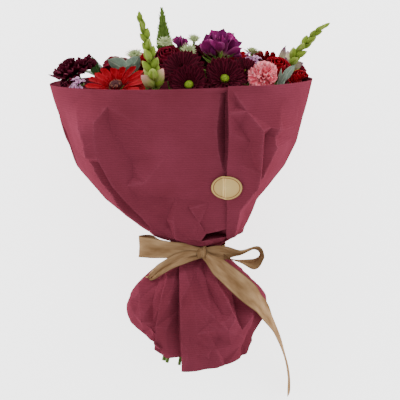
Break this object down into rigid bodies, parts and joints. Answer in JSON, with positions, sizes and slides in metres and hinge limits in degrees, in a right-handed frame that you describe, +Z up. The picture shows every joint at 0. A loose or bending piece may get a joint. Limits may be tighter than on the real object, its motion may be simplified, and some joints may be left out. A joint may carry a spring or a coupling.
{
  "type": "flower bouquet",
  "caption": "Hand-tied mixed flower bouquet in a flared paper wrap, lapped in front and held by a seal and a satin ribbon bow, lying on its back.",
  "frame": {"origin": "on the table, under the middle of the bouquet's box", "axes": "+Y along the bouquet from the cut stems to the flowers, +Z up from the table it lies on, +X to the side where the long ribbon tail lies"},
  "size_m": [0.3222, 0.477, 0.2254],
  "materials": {
    "paper": "matt ribbed kraft",
    "satin": "satin",
    "seal": "satin gold",
    "raffia": "dry fibre",
    "stem": "fresh green stem",
    "mum": "velvety petal",
    "gerbera": "silky petal",
    "gerbera_centre": "matt",
    "dark_rose": "velvety petal",
    "red_rose": "velvety petal",
    "dark_carnation": "matt petal",
    "pink_carnation": "matt petal",
    "alstroemeria": "silky petal",
    "astrantia": "papery bract",
    "snapdragon": "smooth bud",
    "veronica": "matt",
    "eucalyptus": "waxy leaf",
    "foliage": "waxy leaf",
    "waxflower": "waxy petal"
  },
  "bodies": {
    "root": {"paper_wrap": "paper", "ribbon": "satin", "seal_sticker": "seal", "stem_tie": "raffia", "stem_bunch": "stem", "mum_1": "mum", "mum_2": "mum", "mum_3": "mum", "mum_4": "mum", "mum_5": "mum", "mum_6": "mum", "gerbera_1": "gerbera", "gerbera_1_centre": "gerbera_centre", "gerbera_2": "gerbera", "gerbera_2_centre": "gerbera_centre", "dark_rose_1": "dark_rose", "dark_rose_2": "dark_rose", "dark_rose_3": "dark_rose", "red_rose_1": "red_rose", "red_rose_2": "red_rose", "red_rose_3": "red_rose", "red_rose_4": "red_rose", "dark_carnation_1": "dark_carnation", "dark_carnation_2": "dark_carnation", "pink_carnation_1": "pink_carnation", "pink_carnation_2": "pink_carnation", "alstroemeria_1": "alstroemeria", "alstroemeria_2": "alstroemeria", "astrantia_1": "astrantia", "astrantia_2": "astrantia", "astrantia_3": "astrantia", "astrantia_4": "astrantia", "astrantia_5": "astrantia", "snapdragon_1": "snapdragon", "snapdragon_2": "snapdragon", "snapdragon_3": "snapdragon", "veronica_1": "veronica", "eucalyptus_1": "eucalyptus", "eucalyptus_2": "eucalyptus", "eucalyptus_3": "eucalyptus", "foliage_1": "foliage", "foliage_2": "foliage", "waxflower_1": "waxflower", "waxflower_2": "waxflower"}
  },
  "joints": []
}
